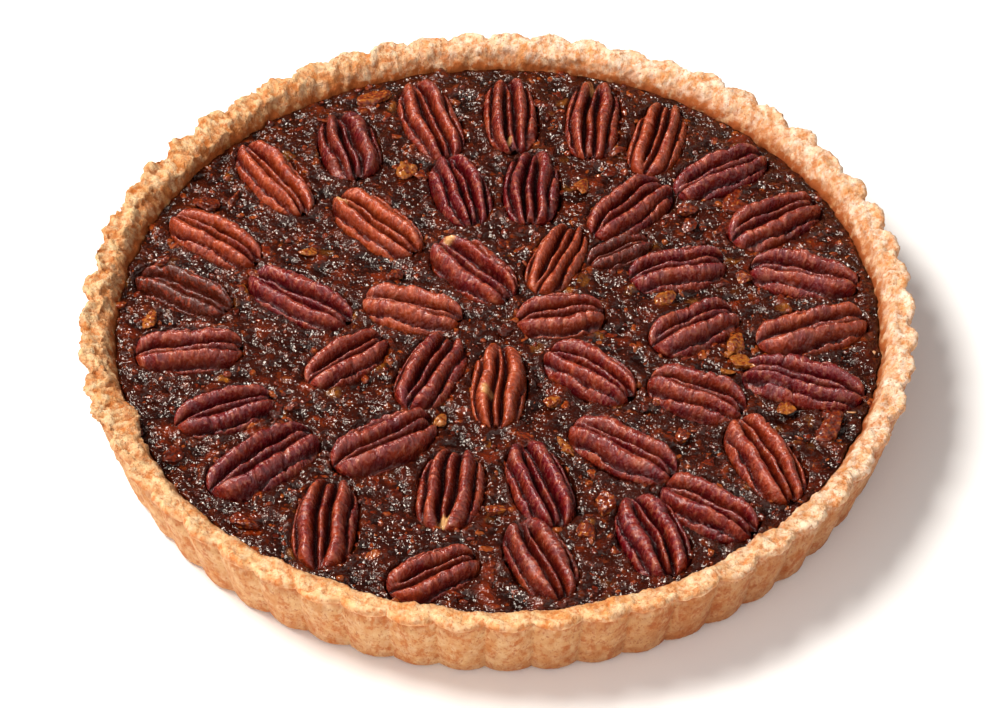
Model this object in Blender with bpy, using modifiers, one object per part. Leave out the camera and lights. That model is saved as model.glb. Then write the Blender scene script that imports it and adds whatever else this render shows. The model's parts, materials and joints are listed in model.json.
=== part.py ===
"""Pecan pie: a whole tart that was baked in a fluted tin, 28 cm across its rim, standing without the tin.

The origin is the middle of the underside and +Z is up. The solids are the shortcrust case, the filling
with its chopped nuts and the pockets that the halves lie in, and one solid for each pecan half.
"""

import math
import random

import bmesh
import bpy
from mathutils import Euler, Matrix, Vector, noise

MM = 0.001
GAP = 0.3 * MM

RIM_RADIUS = 140 * MM
BASE_RADIUS = 133.5 * MM
CRUST_HEIGHT = 31 * MM
FLOOR_THICKNESS = 5 * MM
LIP_WIDTH = 9 * MM
FLUTES = 57
STEPS_PER_FLUTE = 4
FLUTE_DEPTH = 2.2 * MM

FLOOR_RADIUS = 120.5 * MM
FILLING_RADIUS = 129.5 * MM
FILLING_LINE = 24.2 * MM
FILLING_EDGE = 23.6 * MM
FILLING_MIDDLE = 22.4 * MM
FILLING_STEPS = 48

PECAN_HEIGHT = 9.5 * MM
PECAN_SUNK = 2.6 * MM
PECAN_AROUND = 12
PECAN_ALONG = 6
POCKET_SIDES = 12

BIT_COUNT = 40
BIT_SEED = 7

# Each half as it was laid: its middle across and away from the viewer, its turn in degrees, its
# length, its width, and how much deeper than the others it sank. All but the turn are millimetres.
OUTER_RING = (
    (4.5, 102.5, 94, 38, 18, 0),
    (-24.5, 99.5, 109, 40, 19, 0),
    (-53.5, 85.5, 104, 33.5, 20, 0),
    (-79, 68.5, 123, 40.5, 17.5, 0),
    (-98, 37.5, 145, 36, 17.5, 0),
    (-107, 13, 151, 36, 17, 2),
    (-103, -16, 5, 35, 18.5, 0),
    (-89.5, -43.5, 23, 33, 17, 0),
    (-75.5, -66, 39, 40, 20, 0),
    (-54, -92.5, 84, 35.5, 19, 0),
    (-20, -112.5, 29, 30, 17, 0),
    (13.5, -107, 115, 32.5, 18.5, 0),
    (49, -97, 109, 33, 19.5, 0),
    (67.5, -85, 143, 33.5, 18.5, 0),
    (86.5, -64, 114, 37, 19, 0),
    (101, -30, 162, 40, 19.5, 0),
    (105.5, -5.5, 17, 38, 18.5, 0),
    (104.5, 20.5, 169, 36.5, 19, 0),
    (96, 47.5, 33, 35.5, 19, 0),
    (78.5, 72, 31, 36, 18, 0),
    (56.5, 90, 75, 37, 18, 0),
    (34, 100, 86, 40, 18.5, 0),
)
MIDDLE_RING = (
    (-13.5, 63, 108, 34, 18.5, 0),
    (-42, 46, 133, 39.5, 19, 0),
    (-67, 9.5, 147, 39.5, 18.5, 0),
    (-50.5, -19.5, 40, 31, 16.5, 0),
    (-37, -57, 34, 37, 20, 0),
    (-15, -77.5, 81, 32.5, 20, 0),
    (14, -75, 107, 36.5, 18, 0),
    (40.5, -60, 146, 38, 18.5, 0),
    (65.5, -35, 155, 33, 18.5, 0),
    (66, -4.5, 30, 32.5, 18, 0),
    (61.5, 24, 14, 33.5, 18, 0),
    (46, 54, 44, 35.5, 18.5, 0),
    (12, 64.5, 88, 36, 18.5, 0),
)
INNER_RING = (
    (-8.5, 23.5, 134, 35, 19.5, 0),
    (-29, 4.5, 162, 34, 18.5, 0),
    (-22.5, -25, 67, 33.5, 19, 0),
    (0.5, -31.5, 87, 35.5, 17.5, 0),
    (30.5, -25.5, 141, 34, 18.5, 0),
    (21, 1.5, 6, 29.5, 18, 0),
    (20, 29, 68, 34, 16.5, 0),
    (42, 33.5, 30, 25, 12.5, 2),
)
PECANS = OUTER_RING + MIDDLE_RING + INNER_RING

# The largest chopped bits, where they lie: across, away, length, width and turn.
LARGE_BITS = (
    (-117, -2, 11, 6, 60),
    (-67, -41, 8, 7, 20),
    (-105, -65, 9, 8, 120),
    (-80, -92, 10, 7, 10),
    (-18, -48, 6, 5, 70),
    (29, -96, 9, 8, 15),
    (81, -21, 11, 8, 150),
    (60, -54, 8, 6, 160),
    (-66, 32, 6, 5, 0),
    (-33, 74, 9, 6, 110),
    (-45, 111, 11, 7, 15),
    (29, 66, 8, 6, 50),
    (67, 46, 8, 6, 90),
    (78, 43, 9, 6, 70),
    (3, -5, 6, 5, 100),
    (0, -58, 8, 6, 40),
)

# Where the lip is pressed thicker towards the middle: angle, half spread, both in degrees, and depth.
THICK_SPOTS = (
    (143, 9, 3.0 * MM),
    (203, 8, 2.8 * MM),
    (80, 14, 1.5 * MM),
    (310, 10, 1.2 * MM),
)


def linear(hex_colour):
    """The linear colour of an sRGB hex value."""
    parts = [int(hex_colour[i : i + 2], 16) / 255 for i in (1, 3, 5)]
    return [p / 12.92 if p <= 0.04045 else ((p + 0.055) / 1.055) ** 2.4 for p in parts] + [1]


def food_material(name, colour, roughness):
    material = bpy.data.materials.new(name)
    material.use_nodes = True
    shader = material.node_tree.nodes["Principled BSDF"]
    shader.inputs["Base Color"].default_value = linear(colour)
    shader.inputs["Roughness"].default_value = roughness
    shader.inputs["Metallic"].default_value = 0
    material.diffuse_color = linear(colour)
    return material


def clear_scene():
    for obj in list(bpy.data.objects):
        bpy.data.objects.remove(obj)


def new_collection(name, shown):
    collection = bpy.data.collections.new(name)
    bpy.context.scene.collection.children.link(collection)
    collection.hide_render = not shown
    return collection


def add_object(name, mesh, collection, helper=False):
    obj = bpy.data.objects.new(name, mesh)
    collection.objects.link(obj)
    if helper:
        obj.hide_render = True
        obj.display_type = "WIRE"
    return obj


def mesh_from(bm, name):
    mesh = bpy.data.meshes.new(name)
    bm.to_mesh(mesh)
    bm.free()
    return mesh


def apply_modifiers(obj):
    bpy.context.view_layer.update()
    graph = bpy.context.evaluated_depsgraph_get()
    mesh = bpy.data.meshes.new_from_object(obj.evaluated_get(graph))
    obj.modifiers.clear()
    obj.data = mesh


def turned(name, outline, steps, collection):
    """A solid turned about Z from an outline of (radius, height) that starts and ends on the axis."""
    mesh = bpy.data.meshes.new(name)
    points = [(radius, 0, height) for radius, height in outline]
    mesh.from_pydata(points, [(i, i + 1) for i in range(len(points) - 1)], [])
    obj = add_object(name, mesh, collection)
    screw = obj.modifiers.new("Screw", "SCREW")
    screw.axis = "Z"
    screw.steps = steps
    screw.render_steps = steps
    screw.use_merge_vertices = True
    screw.merge_threshold = 0.00001
    apply_modifiers(obj)
    return obj


def smooth(mesh, sharp_angle):
    mesh.shade_smooth()
    mesh.set_sharp_from_angle(angle=math.radians(sharp_angle))


def bump(angle, middle, spread):
    """One at the middle angle, falling to nothing about two spreads away. All in degrees."""
    away = (angle - middle + 180) % 360 - 180
    return math.exp(-((away / spread) ** 2))


def lumps(point, size, seed):
    """Smooth uneven values from about -1 to 1 that change over the given size."""
    return noise.noise(point / size + Vector((seed, seed, seed)))


def crust_outline():
    """Rows of radius, height, share of the fluting and share of the crumbly unevenness."""
    wall_lean = (RIM_RADIUS - BASE_RADIUS) / CRUST_HEIGHT
    shoulder = CRUST_HEIGHT - 2.2 * MM
    waist = CRUST_HEIGHT / 2
    foot = 1.4 * MM
    return (
        (0, FLOOR_THICKNESS, 0, 0),
        (FLOOR_RADIUS, FLOOR_THICKNESS, 0, 0),
        (FILLING_RADIUS, FILLING_LINE, 0, 0),
        (RIM_RADIUS - LIP_WIDTH + 0.8 * MM, shoulder, 0, 1),
        (RIM_RADIUS - LIP_WIDTH / 2, CRUST_HEIGHT, 0.25, 1),
        (RIM_RADIUS - 0.4 * MM, shoulder, 0.8, 0.7),
        (BASE_RADIUS + wall_lean * waist, waist, 1, 0.25),
        (BASE_RADIUS, foot, 1, 0.15),
        (BASE_RADIUS - 1.6 * MM, 0, 0.9, 0),
        (0, 0, 0, 0),
    )


def flute_dip(angle):
    """How far a point of the wall is pressed in: nothing on a rib, the full depth in a furrow."""
    return FLUTE_DEPTH * (1 - abs(math.cos(math.radians(angle) * FLUTES / 2)) ** 0.8)


def shape_crust(mesh, outline):
    """Presses the flutes into the turned wall and makes the lip uneven, as hand-trimmed pastry is."""
    for vertex in mesh.vertices:
        place = vertex.co
        radius = math.hypot(place.x, place.y)
        if radius < MM:
            continue
        angle = math.degrees(math.atan2(place.y, place.x))
        row = min(outline, key=lambda r: abs(r[0] - radius) + abs(r[1] - place.z))
        fluting, unevenness = row[2], row[3]
        inner = radius < RIM_RADIUS - LIP_WIDTH + 2 * MM
        moved = radius - fluting * flute_dip(angle)
        moved += unevenness * 0.9 * MM * lumps(place, 11 * MM, 3)
        if inner and unevenness:
            moved -= sum(depth * bump(angle, middle, spread) for middle, spread, depth in THICK_SPOTS)
        height = place.z + unevenness * 1.4 * MM * lumps(place, 9 * MM, 8)
        height += unevenness * 1.1 * MM * lumps(place, 45 * MM, 5)
        vertex.co = Vector((place.x * moved / radius, place.y * moved / radius, height))


def add_crust(collection):
    outline = crust_outline()
    crust = turned("crust", [row[:2] for row in outline], FLUTES * STEPS_PER_FLUTE, collection)
    shape_crust(crust.data, outline)
    smooth(crust.data, 50)
    crust.data.materials.append(food_material("shortcrust pastry", "#cf9358", 0.75))


def filling_level(x, y):
    """The height of the filling, which sank a little towards its middle as it set."""
    share = math.hypot(x, y) / FILLING_RADIUS
    return FILLING_MIDDLE + (FILLING_EDGE - FILLING_MIDDLE) * share**2


def wall_radius(height):
    """The radius of the pastry wall's inner face at a height below the filling line."""
    share = (height - FLOOR_THICKNESS) / (FILLING_LINE - FLOOR_THICKNESS)
    return FLOOR_RADIUS + (FILLING_RADIUS - FLOOR_RADIUS) * share


def filling_outline():
    rings = [0, 26, 52, 76, 98, 116, 126]
    top = [(ring * MM, filling_level(ring * MM, 0)) for ring in rings]
    brim = FILLING_EDGE - 0.8 * MM
    foot = FLOOR_THICKNESS + GAP
    side = [(wall_radius(height) - 1.3 * GAP, height) for height in (brim, foot)]
    return top + side + [(0, foot)]


def pecan_matrix(number, row):
    """Where a half lies: each is tipped and rolled a few degrees, no two alike."""
    across, away, turn, _, _, sunk = row
    tip = math.radians(2.5 * math.sin(number * 2.4))
    roll = math.radians(3.5 * math.sin(number * 1.7 + 1))
    x, y = across * MM, away * MM
    base = filling_level(x, y) - PECAN_SUNK - sunk * MM
    return Matrix.Translation((x, y, base)) @ Euler((roll, tip, math.radians(turn))).to_matrix().to_4x4()


# The section of a half from its middle ridge, down one side and back up the other: the share of the
# half width and of the height. Two lobes stand either side of the ridge, each beyond a furrow.
ONE_SIDE = ((0.17, 0.6), (0.44, 1.0), (0.82, 0.74), (1.0, 0.24), (0.62, 0.0))
PECAN_SECTION = (
    ((0.0, 0.76),) + ONE_SIDE + ((0.0, 0.03),) + tuple((-y, z) for y, z in reversed(ONE_SIDE))
)


def pecan_mesh(name, length, width, height):
    """A half nut, flat side down, shaped from a ball whose poles are the two tips."""
    bm = bmesh.new()
    bmesh.ops.create_uvsphere(bm, u_segments=PECAN_AROUND, v_segments=PECAN_ALONG, radius=1)
    for vertex in bm.verts:
        along = vertex.co.z
        step = round(math.atan2(vertex.co.y, vertex.co.x) / math.tau * PECAN_AROUND) % PECAN_AROUND
        reach = math.sqrt(max(0, 1 - along**2))
        rise = reach**0.75
        side, up = PECAN_SECTION[step]
        vertex.co = (
            along * length / 2,
            -side * reach * width / 2,
            height * (0.3 * (1 - rise) + up * rise),
        )
    return mesh_from(bm, name)


def add_pecans(collection):
    skin = food_material("toasted pecan", "#6d2a22", 0.4)
    for number, row in enumerate(PECANS, 1):
        length, width, sunk = row[3] * MM, row[4] * MM, row[5]
        height = PECAN_HEIGHT * (width / (18.5 * MM)) ** 0.5
        pecan = add_object(f"pecan_{number:02d}", pecan_mesh("pecan", length, width, height), collection)
        pecan.matrix_world = pecan_matrix(number, row)
        smooth(pecan.data, 75)
        pecan.data.materials.append(skin)


def pocket(number, row, collection):
    """An upright oval just wider than a half, which cuts the pocket that it lies in."""
    depth = PECAN_HEIGHT * 2
    slack = 1 / math.cos(math.pi / POCKET_SIDES)
    bm = bmesh.new()
    bmesh.ops.create_cone(bm, cap_ends=True, segments=POCKET_SIDES, radius1=1, radius2=1.06, depth=depth)
    half_length = row[3] * MM / 2 * slack + GAP
    half_width = row[4] * MM / 2 * slack + GAP
    bmesh.ops.scale(bm, verts=bm.verts, vec=(half_length, half_width, 1))
    bmesh.ops.translate(bm, verts=bm.verts, vec=(0, 0, depth / 2 - GAP))
    add_object(f"pocket_{number:02d}", mesh_from(bm, "pocket"), collection, helper=True)
    collection.objects[-1].matrix_world = pecan_matrix(number, row)


def clear_of_pecans(x, y, margin):
    """Whether a spot on the filling, in millimetres, is at least the margin away from every half."""
    for across, away, turn, length, width, _ in PECANS:
        spot = Matrix.Rotation(-math.radians(turn), 2) @ Vector((x - across, y - away))
        if (spot.x / (length / 2 + margin)) ** 2 + (spot.y / (width / 2 + margin)) ** 2 < 1:
            return False
    return True


def chopped_bits():
    """The large bits that lie free, then more of them scattered evenly where the filling shows."""
    draw = random.Random(BIT_SEED)
    bits = [bit for bit in LARGE_BITS if clear_of_pecans(bit[0], bit[1], bit[2] / 2 + 0.7)]
    spread = FILLING_RADIUS / MM - 7
    while len(bits) < BIT_COUNT:
        radius = spread * math.sqrt(draw.random())
        angle = draw.uniform(0, math.tau)
        x, y = radius * math.cos(angle), radius * math.sin(angle)
        length = draw.uniform(4.5, 7.5)
        near = min(math.hypot(x - bit[0], y - bit[1]) - bit[2] / 2 for bit in bits)
        if near > length / 2 + 1.5 and clear_of_pecans(x, y, length / 2 + 0.7):
            bits.append((x, y, length, length * draw.uniform(0.6, 0.9), draw.uniform(0, 180)))
    return bits


def add_bit(number, bit, collection):
    """A chopped bit of nut, bedded in the filling to half its thickness."""
    x, y, length, width, turn = bit
    bm = bmesh.new()
    bmesh.ops.create_uvsphere(bm, u_segments=6, v_segments=4, radius=1)
    bmesh.ops.scale(bm, verts=bm.verts, vec=(length * MM / 2, width * MM / 2, width * 0.38 * MM))
    place = Vector((x * MM, y * MM, filling_level(x * MM, y * MM) + 0.3 * MM))
    matrix = Matrix.Translation(place) @ Euler((0, 0.15 * math.sin(number), math.radians(turn))).to_matrix().to_4x4()
    bmesh.ops.transform(bm, verts=bm.verts, matrix=matrix)
    add_object(f"bit_{number:02d}", mesh_from(bm, "bit"), collection, helper=True)


def boolean(obj, operation, helpers):
    """Joins or cuts a whole collection at once, and then removes it."""
    modifier = obj.modifiers.new(operation.title(), "BOOLEAN")
    modifier.operation = operation
    modifier.operand_type = "COLLECTION"
    modifier.collection = helpers
    modifier.solver = "MANIFOLD"
    apply_modifiers(obj)
    for helper in list(helpers.objects):
        bpy.data.objects.remove(helper)
    bpy.data.collections.remove(helpers)


def add_filling(collection):
    filling = turned("filling", filling_outline(), FILLING_STEPS, collection)
    for vertex in filling.data.vertices:
        radius = math.hypot(vertex.co.x, vertex.co.y)
        if vertex.co.z > FILLING_MIDDLE - MM and radius < FILLING_RADIUS - 2 * MM:
            vertex.co.z += 0.5 * MM * lumps(vertex.co, 16 * MM, 11)
    bits = new_collection("chopped bits", shown=False)
    for number, bit in enumerate(chopped_bits(), 1):
        add_bit(number, bit, bits)
    boolean(filling, "UNION", bits)
    pockets = new_collection("pockets", shown=False)
    for number, row in enumerate(PECANS, 1):
        pocket(number, row, pockets)
    boolean(filling, "DIFFERENCE", pockets)
    smooth(filling.data, 40)
    filling.data.materials.clear()
    filling.data.materials.append(food_material("baked sugar custard", "#3d2113", 0.25))


def build():
    clear_scene()
    pie = new_collection("pecan pie", shown=True)
    add_crust(pie)
    add_filling(pie)
    add_pecans(pie)


build()
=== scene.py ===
"""Pecan pie: the looks of a whole tart that was baked in a fluted tin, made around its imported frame.

The sections follow the pie as it is made: the studio that it stands in, the shortcrust case, the baked
custard, the nuts chopped into it, and the pecan halves laid on top.
"""

import json
import math

import bmesh
import bpy
import numpy as np
from mathutils import Matrix, Vector, noise

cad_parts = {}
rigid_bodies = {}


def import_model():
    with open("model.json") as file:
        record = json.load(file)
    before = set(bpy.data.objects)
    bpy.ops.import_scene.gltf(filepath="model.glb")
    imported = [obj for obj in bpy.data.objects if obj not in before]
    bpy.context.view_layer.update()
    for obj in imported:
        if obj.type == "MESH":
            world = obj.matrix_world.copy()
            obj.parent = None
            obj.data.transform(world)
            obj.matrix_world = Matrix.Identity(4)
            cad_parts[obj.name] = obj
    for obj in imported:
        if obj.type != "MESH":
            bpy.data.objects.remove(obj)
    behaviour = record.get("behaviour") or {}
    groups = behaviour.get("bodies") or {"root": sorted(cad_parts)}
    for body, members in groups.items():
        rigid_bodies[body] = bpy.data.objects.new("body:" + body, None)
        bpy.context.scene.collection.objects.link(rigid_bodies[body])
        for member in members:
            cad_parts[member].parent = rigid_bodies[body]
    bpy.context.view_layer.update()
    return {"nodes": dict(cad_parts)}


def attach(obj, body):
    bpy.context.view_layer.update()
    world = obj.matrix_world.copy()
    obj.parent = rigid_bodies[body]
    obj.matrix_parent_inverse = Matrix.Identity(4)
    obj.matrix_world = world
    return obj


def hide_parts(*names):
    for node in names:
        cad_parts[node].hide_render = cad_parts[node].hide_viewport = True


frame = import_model()

# The studio. The pie stands on a matt white table. Soft daylight comes from a high window to its left, and
# a white wall in front of it throws some back. The camera looks down on the pie from in front.
MM = 0.001
CAMERA_ELEVATION = 46.16
CAMERA_DISTANCE = 1029.1 * MM
CAMERA_PAN = 0.04
CAMERA_TILT = 0.23
CAMERA_ROLL = -0.25
SENSOR_WIDTH = 36
WINDOW_PLACE = Vector((-1.0, 0.3, 1.6))
WINDOW_SIZE = 0.7
WINDOW_POWER = 49
WALL_PLACE = Vector((-1.1, -1.5, 0.7))
WALL_SIZE = 1.6
WALL_POWER = 11
ROOM_DARK_SIDE = (0, 0.69, 0.72)
ROOM_DIM = 0.06
ROOM_BRIGHT = 0.79
FLOOR_SIZE = 6


def linear(hex_colour):
    """The linear colour of an sRGB hex value, with full alpha."""
    parts = [int(hex_colour[i : i + 2], 16) / 255 for i in (1, 3, 5)]
    return [p / 12.92 if p <= 0.04045 else ((p + 0.055) / 1.055) ** 2.4 for p in parts] + [1]


def add_node(tree, kind, settings=(), inputs=()):
    """A node with its settings, and its inputs given as values, sockets or nodes that feed them."""
    made = tree.nodes.new(kind)
    for name, value in dict(settings).items():
        setattr(made, name, value)
    for name, value in dict(inputs).items():
        if isinstance(value, bpy.types.Node):
            value = value.outputs[0]
        if isinstance(value, bpy.types.NodeSocket):
            tree.links.new(value, made.inputs[name])
        else:
            made.inputs[name].default_value = value
    return made


def swing(first, second, degrees):
    """Two of the camera's axes turned together in their own plane."""
    turn = math.radians(degrees)
    return (
        math.cos(turn) * first - math.sin(turn) * second,
        math.sin(turn) * first + math.cos(turn) * second,
    )


def place_camera():
    data = bpy.data.cameras.new("camera")
    data.sensor_width = SENSOR_WIDTH
    data.lens = 3 * SENSOR_WIDTH
    camera = bpy.data.objects.new("camera", data)
    bpy.context.scene.collection.objects.link(camera)
    elevation = math.radians(CAMERA_ELEVATION)
    place = Vector((0, -math.cos(elevation), math.sin(elevation))) * CAMERA_DISTANCE
    ahead = -place.normalized()
    across = Vector((1, 0, 0))
    above = across.cross(ahead)
    across, ahead = swing(across, ahead, CAMERA_PAN)
    above, ahead = swing(above, ahead, CAMERA_TILT)
    across, above = swing(across, above, CAMERA_ROLL)
    turned = Matrix((across, above, -ahead)).transposed()
    camera.matrix_world = Matrix.Translation(place) @ turned.to_4x4()
    bpy.context.scene.camera = camera


def soft_light(name, place, size, power, colour):
    data = bpy.data.lights.new(name, "AREA")
    data.size = size
    data.energy = power
    data.color = linear(colour)[:3]
    light = bpy.data.objects.new(name, data)
    light.location = place
    light.rotation_euler = place.to_track_quat("Z", "Y").to_euler()
    bpy.context.scene.collection.objects.link(light)


def light_studio():
    world = bpy.data.worlds.new("pale room with a dark corner above and behind the pie")
    world.use_nodes = True
    tree = world.node_tree
    way = add_node(tree, "ShaderNodeTexCoord").outputs["Generated"]
    facing = add_node(
        tree, "ShaderNodeVectorMath", {"operation": "DOT_PRODUCT"}, {0: way, 1: ROOM_DARK_SIDE}
    )
    limits = {"From Min": 0.45, "From Max": 0.85, "To Min": ROOM_BRIGHT, "To Max": ROOM_DIM}
    strength = add_node(tree, "ShaderNodeMapRange", {}, {"Value": facing.outputs["Value"], **limits})
    background = tree.nodes["Background"]
    background.inputs["Color"].default_value = linear("#f6f2ef")
    tree.links.new(strength.outputs[0], background.inputs["Strength"])
    bpy.context.scene.world = world
    soft_light("window", WINDOW_PLACE, WINDOW_SIZE, WINDOW_POWER, "#fffaf2")
    soft_light("white wall", WALL_PLACE, WALL_SIZE, WALL_POWER, "#fff6ec")
    bpy.context.scene.view_settings.view_transform = "Standard"


def lay_floor():
    half = FLOOR_SIZE / 2
    mesh = bpy.data.meshes.new("floor")
    corners = [(-half, -half, -0.1 * MM), (half, -half, -0.1 * MM), (half, half, -0.1 * MM)]
    mesh.from_pydata(corners + [(-half, half, -0.1 * MM)], [], [(0, 1, 2, 3)])
    floor = bpy.data.objects.new("floor", mesh)
    bpy.context.scene.collection.objects.link(floor)
    paint = bpy.data.materials.new("white matt table")
    paint.use_nodes = True
    paint.node_tree.nodes["Principled BSDF"].inputs["Base Color"].default_value = linear("#f9f8f8")
    paint.node_tree.nodes["Principled BSDF"].inputs["Roughness"].default_value = 0.8
    mesh.materials.append(paint)


place_camera()
light_studio()
lay_floor()

# The case. Shortcrust of butter and wholemeal flour, pressed into a fluted tin, trimmed by hand at the
# rim and baked until golden. The flutes left broad round ribs, with narrow furrows between them.
RIM_RADIUS = 140 * MM
BASE_RADIUS = 133.5 * MM
CRUST_HEIGHT = 31 * MM
FLOOR_THICKNESS = 5 * MM
LIP_WIDTH = 9 * MM
LIP_OVERHANG = 3.6 * MM
FLUTES = 57
FLUTE_DEPTH = 2.2 * MM
RIB_ROUNDNESS = 0.8
FLOOR_RADIUS = 120.5 * MM
FILLING_RADIUS = 129.5 * MM
FILLING_LINE = 24.2 * MM
CASE_STEPS = FLUTES * 24
CASE_SPACING = 0.78 * MM
CASE_ROUNDING = 0.45 * MM
LEAST_UNEVENNESS = 0.001

# Where the lip is pressed thicker towards the middle: angle, half spread, both in degrees, and depth.
THICK_SPOTS = (
    (143, 9, 3.0 * MM),
    (246, 8, 1.8 * MM),
    (262, 3, 0.9 * MM),
    (203, 7, 4.2 * MM),
    (80, 14, 1.5 * MM),
    (310, 10, 1.2 * MM),
)

# A Mix node's sockets for colours: how much, from, to, and what comes out.
SHARE, FROM, TO, MIXED = 0, 6, 7, 2


def new_material(name):
    """A material's name, its tree, its shader, and its surface's place in millimetres."""
    material = bpy.data.materials.new(name)
    material.use_nodes = True
    tree = material.node_tree
    place = add_node(tree, "ShaderNodeTexCoord").outputs["Object"]
    sized = {"Vector": place, "Scale": 1 / MM}
    scaled = add_node(tree, "ShaderNodeVectorMath", {"operation": "SCALE"}, sized)
    return material, tree, tree.nodes["Principled BSDF"], scaled.outputs["Vector"]


def new_growth(name, inputs):
    """A Geometry Nodes tree with named inputs of (label, kind, value): the tree, its input and output."""
    tree = bpy.data.node_groups.new(name, "GeometryNodeTree")
    tree.interface.new_socket("Geometry", in_out="INPUT", socket_type="NodeSocketGeometry")
    for label, kind, value in inputs:
        socket = tree.interface.new_socket(label, in_out="INPUT", socket_type="NodeSocket" + kind)
        if value is not None:
            socket.default_value = value
    tree.interface.new_socket("Geometry", in_out="OUTPUT", socket_type="NodeSocketGeometry")
    return tree, tree.nodes.new("NodeGroupInput").outputs, tree.nodes.new("NodeGroupOutput")


def finish_growth(tree, shape, finish, result):
    """Ends a tree: its shape as one plain mesh, in its material."""
    whole = add_node(tree, "GeometryNodeRealizeInstances", {}, {"Geometry": shape})
    done = add_node(tree, "GeometryNodeSetMaterial", {}, {"Geometry": whole, "Material": finish})
    tree.links.new(done.outputs[0], result.inputs[0])


def noisy_rise(tree, given, geometry, place, kinds, roughness, mask):
    """The height that two kinds of noise add where a mask lets them, and the geometry that keeps it in mm."""
    in_mm = add_node(tree, "ShaderNodeVectorMath", {"operation": "SCALE"}, {"Vector": place, "Scale": 1 / MM})
    rises = []
    for kind, detail in kinds:
        scale = add_node(
            tree, "ShaderNodeMath", {"operation": "DIVIDE"}, {0: 1, 1: given[f"{kind} size in mm"]}
        )
        swell = patches(tree, in_mm, scale, 0.3, 0.7, -0.5, 0.5, Detail=detail, Roughness=roughness)
        height = given[f"{kind} height"]
        rises.append(add_node(tree, "ShaderNodeMath", {"operation": "MULTIPLY"}, {0: swell, 1: height}))
    rise = add_node(tree, "ShaderNodeMath", {"operation": "ADD"}, {0: rises[0], 1: rises[1]})
    free = add_node(tree, "GeometryNodeInputNamedAttribute", {}, {"Name": mask})
    masked = add_node(tree, "ShaderNodeMath", {"operation": "MULTIPLY"}, {0: rise, 1: free})
    stands = add_node(tree, "ShaderNodeMath", {"operation": "MULTIPLY"}, {0: masked, 1: 1 / MM})
    values = {"Geometry": geometry, "Name": "stands", "Value": stands}
    return masked, add_node(tree, "GeometryNodeStoreNamedAttribute", {}, values)


def grown(obj, tree, values):
    """The plain mesh that a Geometry Nodes tree makes of an object with these inputs."""
    modifier = obj.modifiers.new(tree.name, "NODES")
    modifier.node_group = tree
    for item in tree.interface.items_tree:
        if item.in_out == "INPUT" and item.name in values:
            modifier[item.identifier] = values[item.name]
    bpy.context.view_layer.update()
    graph = bpy.context.evaluated_depsgraph_get()
    mesh = bpy.data.meshes.new_from_object(
        obj.evaluated_get(graph), preserve_all_data_layers=True, depsgraph=graph
    )
    obj.modifiers.remove(modifier)
    return mesh


def new_piece(name, mesh):
    piece = bpy.data.objects.new(name, mesh)
    bpy.context.scene.collection.objects.link(piece)
    return piece


def keep(mesh, name, values):
    """Stores one number for each point of a mesh, for its material or its Geometry Nodes."""
    mesh.attributes.new(name, "FLOAT", "POINT").data.foreach_set("value", np.asarray(values, np.float32))


def patches(tree, vector, scale, low, high, least=0, most=1, **more):
    """Noise of a scale, as shares that run from least to most while the noise rises from low to high."""
    settings = {"noise_dimensions": "4D"} if "W" in more else {}
    grain = add_node(tree, "ShaderNodeTexNoise", settings, {"Vector": vector, "Scale": scale, **more})
    limits = {"From Min": low, "From Max": high, "To Min": least, "To Max": most}
    return add_node(tree, "ShaderNodeMapRange", {}, {"Value": grain, **limits}).outputs[0]


def coated(tree, colour, coats):
    """A colour under coats, laid one after another: each one's blend, how far it covers, and its colour."""
    for blend, share, tint in coats:
        over = linear(tint) if isinstance(tint, str) else tint
        settings = {"data_type": "RGBA", "blend_type": blend}
        mix = add_node(tree, "ShaderNodeMix", settings, {SHARE: share, FROM: colour, TO: over})
        colour = mix.outputs[MIXED]
    return colour


def lumps(point, size, seed):
    """Smooth uneven values from about -1 to 1 that change over the given size."""
    return noise.noise(point / size + Vector((seed, seed, seed)))


def bump(angle, middle, spread):
    """One at the middle angle, falling to nothing about two spreads away. All in degrees."""
    away = (angle - middle + 180) % 360 - 180
    return math.exp(-((away / spread) ** 2))


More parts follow.
